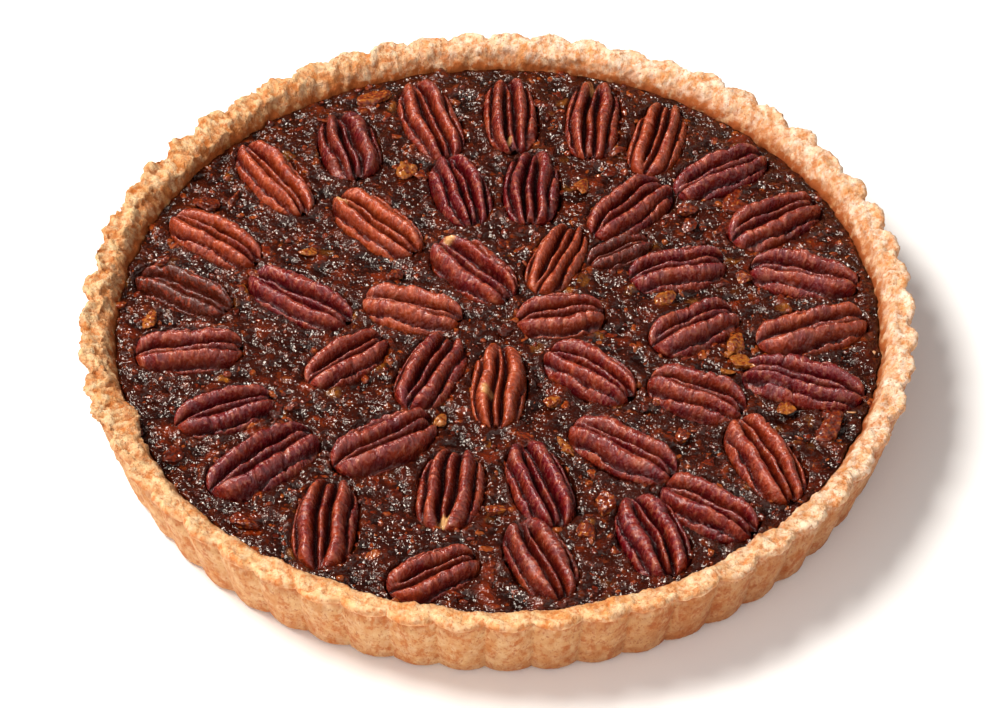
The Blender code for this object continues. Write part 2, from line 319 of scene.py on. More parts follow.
def case_outline():
    """Rows of radius, height, and the shares of fluting, unevenness, crumb, and browning with painted shade
    under the lip, all visible.
    """
    lean = (RIM_RADIUS - BASE_RADIUS) / CRUST_HEIGHT
    shoulder = CRUST_HEIGHT - 2.2 * MM
    waist = CRUST_HEIGHT / 2
    foot = 1.4 * MM
    return (
        (FILLING_RADIUS - 2 * MM, FILLING_LINE - 4.2 * MM, 0, 0, 0.2, 2),
        (FILLING_RADIUS, FILLING_LINE, 0, 0, 0.35, 2),
        (FILLING_RADIUS + 0.6 * MM, FILLING_LINE + 1.6 * MM, 0, 0.35, 0.55, 1),
        (RIM_RADIUS - LIP_WIDTH + 0.6 * MM, shoulder, 0, 1, 0.9, 0.45),
        (RIM_RADIUS - LIP_WIDTH + 2.2 * MM, CRUST_HEIGHT - 0.7 * MM, 0.1, 1, 1, 0.25),
        (RIM_RADIUS - LIP_WIDTH / 2, CRUST_HEIGHT - 0.4 * MM, 0.5, 1, 1, 0.0),
        (RIM_RADIUS - 0.8 * MM, CRUST_HEIGHT + 0.3 * MM, 1.15, 0.8, 0.9, 0.05),
        (RIM_RADIUS + 0.4 * MM, CRUST_HEIGHT - 0.7 * MM, 1.3, 0.7, 0.8, 0.7),
        (RIM_RADIUS + 0.1 * MM, CRUST_HEIGHT - 2.2 * MM, 1.2, 0.55, 0.6, 0.6),
        # Just under the lip, this row's browning share is painted shade under the overhang.
        (BASE_RADIUS + lean * (shoulder - 2 * MM) - 1 * MM, shoulder - 2 * MM, 1, 0.3, 0.35, 1),
        (BASE_RADIUS + lean * (shoulder - 5 * MM), shoulder - 5 * MM, 0.95, 0.2, 0.25, 0.2),
        (BASE_RADIUS + lean * waist, waist, 0.95, 0.2, 0.22, 0.2),
        (BASE_RADIUS, foot, 0.95, 0.15, 0.25, 0.5),
        (BASE_RADIUS - 1.6 * MM, 0, 0.9, 0, 0.1, 0.6),
        (BASE_RADIUS - 5 * MM, 0, 0.4, 0, 0, 0.6),
    )


def creep(angle):
    """How far the pastry's brown inner edge runs in over the custard at an angle."""
    place = Vector((math.cos(angle), math.sin(angle), 0)) * FILLING_RADIUS
    return 1.1 * MM * max(0, 0.4 + 0.9 * lumps(place, 7 * MM, 31)) + 0.7 * MM * lumps(place, 2.6 * MM, 37)


def roughness_at(degrees):
    """How ragged the rim is at an angle: smoothed by hand in front, crumbly at the back left."""
    back_left = 0.95 * bump(degrees, 155, 50) + 0.6 * bump(degrees, 203, 12)
    right = 0.3 * bump(degrees, 30, 45) + 0.35 * bump(degrees, 320, 30)
    return 0.5 + back_left + right


def rounded_rows(rows, spacing, rounding):
    """The rows of an outline set the spacing apart, with its corners rounded off."""
    rows = np.array(rows, float)
    steps = np.hypot(np.diff(rows[:, 0]), np.diff(rows[:, 1]))
    along = np.concatenate([[0], np.cumsum(steps)])
    # The corners are rounded on rows six times as fine, of which every sixth one is kept.
    finer = 6
    fine = np.arange(0, along[-1], spacing / finer)
    reach = np.arange(-3 * finer, 3 * finer + 1)
    weights = np.exp(-((reach * spacing / finer / rounding) ** 2))
    weights /= weights.sum()
    columns = []
    for column in rows.T:
        values = np.pad(np.interp(fine, along, column), 3 * finer, mode="edge")
        columns.append(np.convolve(values, weights, mode="valid"))
    return np.array(columns).T[::finer]


def turned_case():
    """The case turned about Z, with its lip as uneven as hand-trimmed pastry but its wall still plain."""
    hidden = [(FLOOR_RADIUS, FLOOR_THICKNESS, 0, 0, 0, 0)]
    rows = np.vstack([hidden, rounded_rows(case_outline(), CASE_SPACING, CASE_ROUNDING)])
    points = []
    creeps = [creep(math.tau * step / CASE_STEPS) for step in range(CASE_STEPS)]
    for radius, height, _, unevenness, _, _ in rows:
        inner = min(1, max(0, (RIM_RADIUS - LIP_WIDTH / 2 - radius) / (LIP_WIDTH / 2 - 0.8 * MM)))
        at_line = max(0, 1 - abs(height - FILLING_LINE) / (3.5 * MM))
        if radius > FILLING_RADIUS + 2 * MM:
            at_line = 0
        for step in range(CASE_STEPS):
            angle = math.tau * step / CASE_STEPS
            place = Vector((radius * math.cos(angle), radius * math.sin(angle), height))
            moved = radius - at_line * creeps[step]
            if unevenness > LEAST_UNEVENNESS:
                degrees = math.degrees(angle)
                coarse, fine = lumps(place, 11 * MM, 3), lumps(place, 5 * MM, 17)
                moved += unevenness * MM * (1.1 * coarse + 1.2 * roughness_at(degrees) * fine)
                overhang = max(0, 1 - abs(radius - RIM_RADIUS) / (2 * MM)) * max(0, unevenness - 0.3)
                moved += LIP_OVERHANG * roughness_at(degrees) * overhang * lumps(place, 8.5 * MM, 41)
                spots = sum(depth * bump(degrees, middle, spread) for middle, spread, depth in THICK_SPOTS)
                moved -= inner * unevenness * spots
                raised = 1.4 * lumps(place, 9 * MM, 8) + 1.1 * lumps(place, 45 * MM, 5)
                raised += 0.9 * roughness_at(degrees) * lumps(place, 4 * MM, 23)
                raised += 2.4 * overhang * (abs(math.cos(FLUTES * angle / 2)) - 0.6)
                place.z += unevenness * MM * raised
            place.x, place.y = moved * math.cos(angle), moved * math.sin(angle)
            points.append(place)
    ring, step = np.meshgrid(np.arange(len(rows) - 1), np.arange(CASE_STEPS), indexing="ij")
    here, beside = ring * CASE_STEPS + step, ring * CASE_STEPS + (step + 1) % CASE_STEPS
    faces = np.stack([here, here + CASE_STEPS, beside + CASE_STEPS, beside], axis=-1)
    faces = faces.reshape(-1, 4).tolist()
    top, under = len(points), len(points) + 1
    last = (len(rows) - 1) * CASE_STEPS
    for i in range(CASE_STEPS):
        following = (i + 1) % CASE_STEPS
        faces.append([top, i, following])
        faces.append([under, last + following, last + i])
    mesh = bpy.data.meshes.new("crust")
    mesh.from_pydata(points + [(0, 0, FLOOR_THICKNESS), (0, 0, 0)], [], faces)
    ragged = [roughness_at(360 * step / CASE_STEPS) for step in range(CASE_STEPS)]
    for name, column in (("fluting", 2), ("crumb", 4), ("browning_and_lip_shade", 5)):
        around = ragged if name == "crumb" else np.ones(CASE_STEPS)
        keep(mesh, name, np.append(np.outer(rows[:, column], around).ravel(), [0, 0]))
    mesh.shade_smooth()
    return mesh


def pastry_relief():
    """Presses the flutes into the wall, then raises crags and crumbs along the surface."""
    tree, given, result = new_growth(
        "flutes and crumb",
        (
            ("Flutes", "Float", 57),
            ("Flute depth", "Float", 2.2 * MM),
            ("Crag size in mm", "Float", 5),
            ("Crag height", "Float", 1 * MM),
            ("Crumb size in mm", "Float", 1.5),
            ("Crumb height", "Float", 0.5 * MM),
            ("Pastry", "Material", None),
        ),
    )
    place = add_node(tree, "GeometryNodeInputPosition")
    axes = add_node(tree, "ShaderNodeSeparateXYZ", {}, {0: place}).outputs
    flat = add_node(tree, "ShaderNodeCombineXYZ", {}, {"X": axes["X"], "Y": axes["Y"]})
    outward = add_node(tree, "ShaderNodeVectorMath", {"operation": "NORMALIZE"}, {0: flat})
    angle = add_node(tree, "ShaderNodeMath", {"operation": "ARCTAN2"}, {0: axes["Y"], 1: axes["X"]})
    fluting = add_node(tree, "GeometryNodeInputNamedAttribute", {}, {"Name": "fluting"})
    # A cosine's humps side by side are the ribs. Each sum takes the one before it and the value beside it.
    sums = (
        ("MULTIPLY", given["Flutes"]),
        ("MULTIPLY", 0.5),
        ("COSINE", 0),
        ("ABSOLUTE", 0),
        ("POWER", RIB_ROUNDNESS),
        ("SUBTRACT", 1),
        ("MULTIPLY", given["Flute depth"]),
        ("MULTIPLY", fluting),
    )
    dip = angle
    for operation, value in sums:
        dip = add_node(tree, "ShaderNodeMath", {"operation": operation}, {0: dip, 1: value})
    pressed = add_node(tree, "ShaderNodeVectorMath", {"operation": "SCALE"}, {0: outward, "Scale": dip})
    inputs = {"Geometry": given["Geometry"], "Offset": pressed}
    fluted = add_node(tree, "GeometryNodeSetPosition", {}, inputs)
    kinds = (("Crag", 2), ("Crumb", 2))
    rise, noted = noisy_rise(tree, given, fluted, place, kinds, roughness=0.6, mask="crumb")
    normal = add_node(tree, "GeometryNodeInputNormal")
    raised = add_node(tree, "ShaderNodeVectorMath", {"operation": "SCALE"}, {0: normal, "Scale": rise})
    shape = add_node(tree, "GeometryNodeSetPosition", {}, {"Geometry": noted, "Offset": raised})
    finish_growth(tree, shape, given["Pastry"], result)
    return tree


def wholemeal_shortcrust():
    """Baked shortcrust: matt and crumbly, cream on its high spots, its hollows painted orange brown as shade,
    its edges browned and painted shade under its lip.
    """
    material, tree, shader, place = new_material("wholemeal shortcrust")
    # The dough was pressed up the wall, which drew its grain out a little.
    drawn = add_node(tree, "ShaderNodeVectorMath", {"operation": "MULTIPLY"}, {0: place, 1: (1, 1, 0.55)})
    # Each layer's size in mm and its detail, where in the noise it starts and is full, its cover and colour.
    layers = (
        (7, 3, 0.42, 0.64, 0.75, "#dd9448"),
        (3.2, 4, 0.47, 0.59, 0.7, "#fdecd9"),
        (2.4, 4, 0.5, 0.62, 0.75, "#d27c33"),
        (1, 3, 0.55, 0.64, 0.6, "#b1561e"),
    )
    coats = []
    for number, (size, detail, low, high, cover, tint) in enumerate(layers):
        more = {"W": number * 3.0, "Detail": detail, "Roughness": 0.65}
        coats.append(("MIX", patches(tree, drawn, 1 / size, low, high, 0, cover, **more), tint))
    # Painted shade: where the crumb's relief sinks, the crust is coloured orange brown.
    stands = add_node(tree, "ShaderNodeAttribute", {"attribute_name": "stands"}).outputs["Fac"]
    limits = {"From Min": 0.05, "From Max": -0.6, "To Max": 0.65}
    painted_hollow_shade = add_node(tree, "ShaderNodeMapRange", {}, {"Value": stands, **limits})
    # Browned edges, and painted shade just under the lip.
    browning_and_lip_shade = add_node(tree, "ShaderNodeAttribute", {"attribute_name": "browning_and_lip_shade"}).outputs["Fac"]
    crusty = patches(tree, place, 1 / 3, 0.3, 0.62, Detail=4)
    edge = add_node(tree, "ShaderNodeMath", {"operation": "MULTIPLY"}, {0: browning_and_lip_shade, 1: crusty})
    towards_right = add_node(
        tree, "ShaderNodeVectorMath", {"operation": "DOT_PRODUCT"}, {0: place, 1: (0.9, 0.44, 0)}
    ).outputs["Value"]
    limits = {"From Min": 90, "From Max": -30}
    hot_side = add_node(tree, "ShaderNodeMapRange", {}, {"Value": towards_right, **limits})
    axes = add_node(tree, "ShaderNodeSeparateXYZ", {}, {0: place}).outputs
    # Painted shade: the wall below the lip is darkened, more so towards the right, on the side away from the
    # window.
    right = add_node(tree, "ShaderNodeMapRange", {}, {"Value": axes["X"], "From Min": -20, "From Max": 60})
    tints = {FROM: linear("#e1d9cf"), TO: linear("#caae91")}
    right_wall_painted_shade = add_node(tree, "ShaderNodeMix", {"data_type": "RGBA"}, {SHARE: right, **tints})
    low = add_node(tree, "ShaderNodeMapRange", {}, {"Value": axes["Z"], "From Min": 28, "From Max": 24})
    coats += [("MIX", painted_hollow_shade, "#c67222"), ("MIX", edge, "#b4642a"), ("MULTIPLY", hot_side, "#f8e7c8")]
    coats.append(("MULTIPLY", low, right_wall_painted_shade.outputs[MIXED]))
    tree.links.new(coated(tree, linear("#f5d9b8"), coats), shader.inputs["Base Color"])
    shader.inputs["Roughness"].default_value = 0.8
    shader.inputs["Specular IOR Level"].default_value = 0.35
    looks = {"Scale": 1 / 1.1, "Detail": 4, "Roughness": 0.65}
    crumb = add_node(tree, "ShaderNodeTexNoise", {}, {"Vector": drawn, **looks})
    crumbly = add_node(tree, "ShaderNodeAttribute", {"attribute_name": "crumb"}).outputs["Fac"]
    limits = {"To Min": 0.05 * MM, "To Max": 1.4 * MM}
    deep = add_node(tree, "ShaderNodeMapRange", {}, {"Value": crumbly, **limits})
    rough = add_node(tree, "ShaderNodeBump", {}, {"Strength": 1, "Distance": deep, "Height": crumb})
    tree.links.new(rough.outputs[0], shader.inputs["Normal"])
    return material


pastry = wholemeal_shortcrust()
crust = new_piece("shortcrust_case", turned_case())
crust.data = grown(
    crust,
    pastry_relief(),
    {
        "Flutes": float(FLUTES),
        "Flute depth": FLUTE_DEPTH,
        "Crag size in mm": 3.8,
        "Crag height": 1.6 * MM,
        "Crumb size in mm": 1.5,
        "Crumb height": 1.1 * MM,
        "Pastry": pastry,
    },
)
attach(crust, "root")
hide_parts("crust")

# The pecan halves as the frame holds them. Each one's middle, length, width and turn come from the
# spread of its solid's points, and the custard needs them for the pockets that the halves lie in.
# The custard covers each half's foot, so a shell is this much longer and wider than its solid.
SHELL_SPREAD = (1.03, 1.09, 1)


def measured_half(node):
    """Where a half lies: its middle, its axes along, across and up, its length, width and height."""
    count = len(node.data.vertices)
    points = np.empty(count * 3, np.float32)
    node.data.vertices.foreach_get("co", points)
    points = np.unique(np.round(points.reshape(-1, 3), 6), axis=0)
    _, _, axes = np.linalg.svd(points - points.mean(axis=0), full_matrices=False)
    along, across, up = axes
    along = along * (1 if (along[1] > 0 or (along[1] == 0 and along[0] > 0)) else -1)
    up = up * (1 if up[2] > 0 else -1)
    across = np.cross(up, along)
    axes = np.array([along, across, up])
    spots = points @ axes.T
    low, high = spots.min(axis=0), spots.max(axis=0)
    base = axes.T @ np.array([(low[0] + high[0]) / 2, (low[1] + high[1]) / 2, low[2]])
    return {"base": base, "axes": axes, "size": (high - low) * SHELL_SPREAD}


halves = {name: measured_half(node) for name, node in sorted(frame["nodes"].items()) if "pecan" in name}

# The custard. Sugar, butter and eggs baked round chopped nuts, which set to a dark syrupy mass that is
# all grains and bubbles. It sank a little in the middle as it cooled, and rises a little round each half.
FILLING_EDGE = 23.6 * MM
FILLING_MIDDLE = 22.4 * MM
CUSTARD_CELLS = 300
WALL_GAP = 0.39 * MM
FILLING_SWELL = 0.5 * MM
POCKET_INSIDE = -0.6 * MM
POCKET_OUTSIDE = 0.4 * MM
UNDER_HALVES = 0.4 * MM
COLLAR_HEIGHT = 0.6 * MM
COLLAR_PLACE = 1.4 * MM
COLLAR_WIDTH = 1.3 * MM
SYRUP_SHINE = 0.56
SYRUP_GLEAM = "#fff9f2"


def filling_level(x, y):
    share = np.hypot(x, y) / FILLING_RADIUS
    return FILLING_MIDDLE + (FILLING_EDGE - FILLING_MIDDLE) * share**2


def wall_radius(height):
    share = (height - FLOOR_THICKNESS) / (FILLING_LINE - FLOOR_THICKNESS)
    return FLOOR_RADIUS + (FILLING_RADIUS - FLOOR_RADIUS) * share


def disc_grid(cells):
    """A square grid of points drawn out to a disc of radius one, so that its cells stay nearly alike."""
    line = np.linspace(-1, 1, cells + 1)
    a, b = np.meshgrid(line, line, indexing="ij")
    wide = np.abs(a) > np.abs(b)
    radius = np.where(wide, a, b)
    safe_a, safe_b = np.where(a == 0, 1, a), np.where(b == 0, 1, b)
    angle = np.where(wide, math.pi / 4 * b / safe_a, math.pi / 2 - math.pi / 4 * a / safe_b)
    return (radius * np.cos(angle)).ravel(), (radius * np.sin(angle)).ravel()


def gap_to_halves(x, y):
    """The distance of points to the nearest half's outline, less than nothing inside it, and its base."""
    nearest = np.full(len(x), 1.0)
    base = np.zeros(len(x))
    for half in halves.values():
        away_x, away_y = x - half["base"][0], y - half["base"][1]
        u = away_x * half["axes"][0, 0] + away_y * half["axes"][0, 1]
        v = away_x * half["axes"][1, 0] + away_y * half["axes"][1, 1]
        long_share, wide_share = 2 * np.abs(u) / half["size"][0], 2 * np.abs(v) / half["size"][1]
        share = (long_share**2.8 + wide_share**2.1) ** (1 / 2.45)
        distance = np.hypot(u, v) * (1 - 1 / np.maximum(share, 1e-6))
        closer = distance < nearest
        nearest = np.where(closer, distance, nearest)
        base = np.where(closer, half["base"][2], base)
    return nearest, base


def smooth_step(value, low, high):
    share = np.clip((value - low) / (high - low), 0, 1)
    return share * share * (3 - 2 * share)


def custard_mass():
    """The top of the custard on a fine grid, closed by its side along the case's wall and its underside."""
    brim = FILLING_EDGE - 0.3 * MM
    x, y = disc_grid(CUSTARD_CELLS)
    creeps = np.array([creep(math.atan2(b, a)) for a, b in zip(x, y)])
    reach = wall_radius(brim) - WALL_GAP - creeps * np.hypot(x, y) ** 12
    x, y = x * reach, y * reach
    near, base = gap_to_halves(x, y)
    level = filling_level(x, y)
    spots = [Vector(spot) for spot in zip(x, y, level)]
    level = level + FILLING_SWELL * np.array([lumps(spot, 16 * MM, 11) for spot in spots])
    crept = np.array([lumps(spot, 7 * MM, 21) for spot in spots]) * 1.4 * MM
    inside = 1 - smooth_step(near - crept, POCKET_INSIDE, POCKET_OUTSIDE)
    collar = COLLAR_HEIGHT * np.exp(-(((near - COLLAR_PLACE) / COLLAR_WIDTH) ** 2))
    z = level + collar - inside * (level - base + UNDER_HALVES)
    # The top's squares, then its rim, from which the side and the underside hang.
    cells = CUSTARD_CELLS
    column, row = np.meshgrid(np.arange(cells), np.arange(cells), indexing="ij")
    corner = column * (cells + 1) + row
    faces = np.stack([corner, corner + cells + 1, corner + cells + 2, corner + 1], axis=-1)
    faces = faces.reshape(-1, 4).tolist()
    side = np.arange(cells)
    rim = np.concatenate([side * (cells + 1), cells * (cells + 1) + side])
    rim = np.concatenate([rim, (cells - side) * (cells + 1) + cells, cells - side])
    foot = FLOOR_THICKNESS + 0.3 * MM
    shrink = (wall_radius(foot) - WALL_GAP) / np.hypot(x[rim], y[rim])
    first = len(x)
    edge = wall_radius(brim) - np.hypot(x, y)
    x = np.concatenate([x, x[rim] * shrink, [0]])
    y = np.concatenate([y, y[rim] * shrink, [0]])
    z = np.concatenate([z, np.full(len(rim) + 1, foot)])
    for i, top in enumerate(rim.tolist()):
        after = (i + 1) % len(rim)
        faces.append([top, first + i, first + after, int(rim[after])])
        faces.append([first + i, first + len(rim), first + after])
    mesh = bpy.data.meshes.new("custard")
    mesh.from_pydata(np.stack([x, y, z], axis=-1).tolist(), [], faces)
    grainy = np.zeros(len(x))
    grainy[:first] = (1 - inside) * smooth_step(edge - creeps, 0.4 * MM, 1.2 * MM)
    keep(mesh, "open", grainy)
    mesh.shade_smooth()
    return mesh


def custard_relief():
    """Raises lumps, and the domes of grains and bubbles, wherever the custard lies open."""
    tree, given, result = new_growth(
        "grains and bubbles",
        (
            ("Lump size in mm", "Float", 6),
            ("Lump height", "Float", 1 * MM),
            ("Grain size in mm", "Float", 2),
            ("Grain height", "Float", 0.8 * MM),
            ("Custard", "Material", None),
        ),
    )
    place = add_node(tree, "GeometryNodeInputPosition")
    kinds = (("Lump", 2), ("Grain", 3))
    whole = given["Geometry"]
    rise, noted = noisy_rise(tree, given, whole, place, kinds, roughness=0.55, mask="open")
    offset = add_node(tree, "ShaderNodeCombineXYZ", {}, {"Z": rise})
    shape = add_node(tree, "GeometryNodeSetPosition", {}, {"Geometry": noted, "Offset": offset})
    finish_growth(tree, shape, given["Custard"], result)
    return tree


def baked_custard():
    """Caramelised sugar custard: near black in its hollows, where the syrup lies deeper and shade is painted
    in, with red brown and amber bits under its gloss.
    """
    material, tree, shader, place = new_material("caramelised sugar custard")
    swirl = add_node(tree, "ShaderNodeTexNoise", {}, {"Vector": place, "Scale": 1 / 2.5, "Detail": 2})
    swirled = {0: swirl.outputs["Color"], "Scale": 4}
    drift = add_node(tree, "ShaderNodeVectorMath", {"operation": "SCALE"}, swirled)
    warped = add_node(tree, "ShaderNodeVectorMath", {"operation": "ADD"}, {0: place, 1: drift})
    # Each kind of bit: its size, the share of the surface that it leaves bare, its cover and its colour.
    layers = (
        (3.6, 0.4, 0.85, "#5e1e08"),
        (2.6, 0.7, 0.8, "#85330c"),
        (7.5, 0.7, 0.75, "#802809"),
        (5.2, 0.9, 0.85, "#b66a1e"),
    )
    coats = []
    for number, (size, bare, cover, tint) in enumerate(layers):
        looks = {"Vector": warped, "W": number * 5.0, "Scale": 1 / size}
        cells = add_node(tree, "ShaderNodeTexVoronoi", {"voronoi_dimensions": "4D"}, looks).outputs
        pick = add_node(tree, "ShaderNodeSeparateColor", {}, {0: cells["Color"]})
        limits = {"From Min": bare, "From Max": bare + 0.1, "To Max": cover}
        chosen = add_node(tree, "ShaderNodeMapRange", {}, {"Value": pick, **limits})
        limits = {"From Min": 0.6, "From Max": 0.25}
        heart = add_node(tree, "ShaderNodeMapRange", {}, {"Value": cells["Distance"], **limits})
        share = add_node(tree, "ShaderNodeMath", {"operation": "MULTIPLY"}, {0: chosen, 1: heart})
        coats.append(("MIX", share, tint))
    coats.append(("MIX", patches(tree, place, 1 / 13, 0.5, 0.66, 0, 0.4, Detail=3), "#2e0f07"))
    mass = coated(tree, linear("#3a0f04"), coats)
    # Painted shade, with deeper syrup: the lower the relief, the nearer black the custard.
    stands = add_node(tree, "ShaderNodeAttribute", {"attribute_name": "stands"}).outputs["Fac"]
    height = add_node(tree, "ShaderNodeMapRange", {}, {"Value": stands, "From Min": -0.9, "From Max": 0.45})
    tints = {FROM: linear("#1d0502"), TO: mass}
    shaded = add_node(tree, "ShaderNodeMix", {"data_type": "RGBA"}, {SHARE: height, **tints})
    tree.links.new(shaded.outputs[MIXED], shader.inputs["Base Color"])
    shader.inputs["Roughness"].default_value = 0.055
    shader.inputs["Specular IOR Level"].default_value = SYRUP_SHINE
    shader.inputs["Specular Tint"].default_value = linear(SYRUP_GLEAM)
    looks = {"Scale": 1 / 1.6, "Detail": 1.5, "Roughness": 0.5}
    fine = add_node(tree, "ShaderNodeTexNoise", {}, {"Vector": place, **looks})
    wet = add_node(tree, "ShaderNodeBump", {}, {"Strength": 1, "Distance": 1.25 * MM, "Height": fine})
    tree.links.new(wet.outputs[0], shader.inputs["Normal"])
    return material


custard = baked_custard()
filling = new_piece("baked_custard", custard_mass())
filling.data = grown(
    filling,
    custard_relief(),
    {
        "Lump size in mm": 8.0,
        "Lump height": 2.1 * MM,
        "Grain size in mm": 3.6,
        "Grain height": 1.35 * MM,
        "Custard": custard,
    },
)
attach(filling, "root")
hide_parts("filling")

# The nuts chopped into the custard. Bits of pecan of every size, from grains to thumbnail pieces, came
# up to the top as it baked and lie bedded in it, all wet with syrup: amber, red brown and dark brown.
# Each large bit's place, length and width in mm, its turn in degrees, and its tone.
BIT_ROWS = (
    (-117, -2, 11, 6, 60, 0.8), (-67, -41, 8, 7, 20, 0.35), (-105, -65, 9, 8, 120, 0.3),
    (-80, -92, 10, 7, 10, 0.45), (-18, -48, 6, 5, 70, 1.0), (29, -96, 9, 8, 15, 0.6),
    (81, -20, 12, 9, 150, 0.95), (77, -17, 6, 4, 40, 1.0), (86, -24, 6, 5, 100, 0.9),
    (76, -25, 5, 4, 10, 1.0), (60, -54, 8, 6, 160, 0.5), (-66, 32, 6, 5, 0, 0.9),
    (-33, 74, 9, 6, 110, 0.85), (-45, 111, 11, 7, 15, 0.7), (29, 66, 8, 6, 50, 0.8),
    (67, 46, 8, 6, 90, 0.4), (78, 43, 9, 6, 70, 0.35), (3, -5, 6, 5, 100, 0.1),
    (9, -55, 9, 8, 40, 0.4), (108, -51, 14, 9, 65, 0.5), (94, -42, 10, 5, 10, 0.85),
    (57, 9, 11, 7, 25, 0.8), (67, 4, 8, 6, 140, 0.6), (82, 55, 10, 8, 20, 0.5),
    (66, 54, 10, 7, 160, 0.5), (84, 19, 7, 6, 60, 0.6), (-93, 57, 9, 5, 70, 0.5),
    (-103, 55, 9, 6, 10, 0.4), (19, -38, 7, 6, 30, 0.75), (-1, -86, 9, 6, 20, 0.65),
    (23, -60, 12, 4, 125, 0.9), (34, -84, 9, 8, 70, 0.55), (-36, 20, 7, 5, 30, 0.5),
    (80, -11, 9, 7, 80, 0.85), (-83, 20, 8, 5, 100, 0.6), (42, 84, 8, 5, 20, 0.6),
)
CHIP_FLATS = 10
CHIP_SHAPES = 4
CHIP_TILT = 0.5
CHIP_WEAR = 0.1
BIT_RISE = 0.7 * MM
DENSE_ENOUGH = 1e7


def chip_mesh(seed, detail, flats):
    """A broken bit of nut about two units across: a ball cut by a few flat breaks, its edges worn."""
    draw = np.random.default_rng(seed)
    bm = bmesh.new()
    bmesh.ops.create_icosphere(bm, subdivisions=detail, radius=1)
    breaks = draw.normal(size=(flats, 3))
    breaks /= np.linalg.norm(breaks, axis=1)[:, None]
    depths = draw.uniform(0.35, 0.65, flats)
    stretch = Vector((1, draw.uniform(0.65, 0.9), draw.uniform(0.45, 0.65)))
    for vertex in bm.verts:
        facing = breaks @ np.array(vertex.co)
        cut = [depth / face for depth, face in zip(depths, facing) if face > 0.2]
        radius = min(1, *cut) if cut else 1
        radius *= 1 + CHIP_WEAR * lumps(vertex.co, 0.5, seed * 3.1)
        vertex.co = vertex.co * radius * stretch
    mesh = bpy.data.meshes.new("chip")
    bm.to_mesh(mesh)
    bm.free()
    mesh.shade_smooth()
    return mesh


def shape_collection(name, detail, flats):
    """A few unlike chips for Geometry Nodes to pick from, in a collection that isn't in the scene."""
    shapes = bpy.data.collections.new(name)
    for number in range(CHIP_SHAPES):
        shapes.objects.link(bpy.data.objects.new(f"{name} {number}", chip_mesh(number + 1, detail, flats)))
    return shapes


def scattering():
    """Beds bits in the open custard, each turned, sized and toned at random, at least a spacing apart."""
    tree, given, result = new_growth(
        "bedded bits",
        (
            ("Shapes", "Collection", None),
            ("Spacing", "Float", 2 * MM),
            ("Smallest", "Float", 0.5 * MM),
            ("Largest", "Float", 1 * MM),
            ("Sunk", "Float", 0.2 * MM),
            ("Patch size in mm", "Float", 9),
            ("Seed", "Int", 1),
            ("Finish", "Material", None),
        ),
    )
    place = add_node(tree, "GeometryNodeInputPosition")
    in_mm = add_node(tree, "ShaderNodeVectorMath", {"operation": "SCALE"}, {"Vector": place, "Scale": 1 / MM})
    scale = add_node(tree, "ShaderNodeMath", {"operation": "DIVIDE"}, {0: 1, 1: given["Patch size in mm"]})
    thick = patches(tree, in_mm, scale, 0.35, 0.6, W=given["Seed"])
    free = add_node(tree, "GeometryNodeInputNamedAttribute", {}, {"Name": "open"})
    share = add_node(tree, "ShaderNodeMath", {"operation": "MULTIPLY"}, {0: thick, 1: free})
    inputs = {
        "Mesh": given["Geometry"],
        "Distance Min": given["Spacing"],
        "Density Max": DENSE_ENOUGH,
        "Density Factor": share,
        "Seed": given["Seed"],
    }
    how = {"distribute_method": "POISSON"}
    spread = add_node(tree, "GeometryNodeDistributePointsOnFaces", how, inputs).outputs["Points"]
    down = add_node(tree, "ShaderNodeMath", {"operation": "MULTIPLY"}, {0: given["Sunk"], 1: -1})
    drop = add_node(tree, "ShaderNodeCombineXYZ", {}, {"Z": down})
    sunk = add_node(tree, "GeometryNodeSetPosition", {}, {"Geometry": spread, "Offset": drop})
    inputs = {"Collection": given["Shapes"], "Separate Children": True, "Reset Children": True}
    shapes = add_node(tree, "GeometryNodeCollectionInfo", {}, inputs)
    # Each random value's kind, its input and output sockets, its least and its most. The seed is its place.
    draws = []
    ranges = (
        ("INT", 4, 2, 0, CHIP_SHAPES - 1),
        ("FLOAT_VECTOR", 0, 0, (-CHIP_TILT, -CHIP_TILT, 0), (CHIP_TILT, CHIP_TILT, math.tau)),
        ("FLOAT", 2, 1, given["Smallest"], given["Largest"]),
        ("FLOAT", 2, 1, 0, 1),
    )
    for seed, (kind, first, drawn, least, most) in enumerate(ranges, 1):
        inputs = {first: least, first + 1: most, "Seed": seed}
        draw = add_node(tree, "FunctionNodeRandomValue", {"data_type": kind}, inputs)
        draws.append(draw.outputs[drawn])
    pick, turn, size, tone = draws
    inputs = {"Instance": shapes, "Pick Instance": True, "Instance Index": pick, "Rotation": turn}
    bits = add_node(tree, "GeometryNodeInstanceOnPoints", {}, {"Points": sunk, "Scale": size, **inputs})
    inputs = {"Geometry": bits, "Name": "tone", "Value": tone}
    toned = add_node(tree, "GeometryNodeStoreNamedAttribute", {"domain": "INSTANCE"}, inputs)
    finish_growth(tree, toned, given["Finish"], result)
    return tree


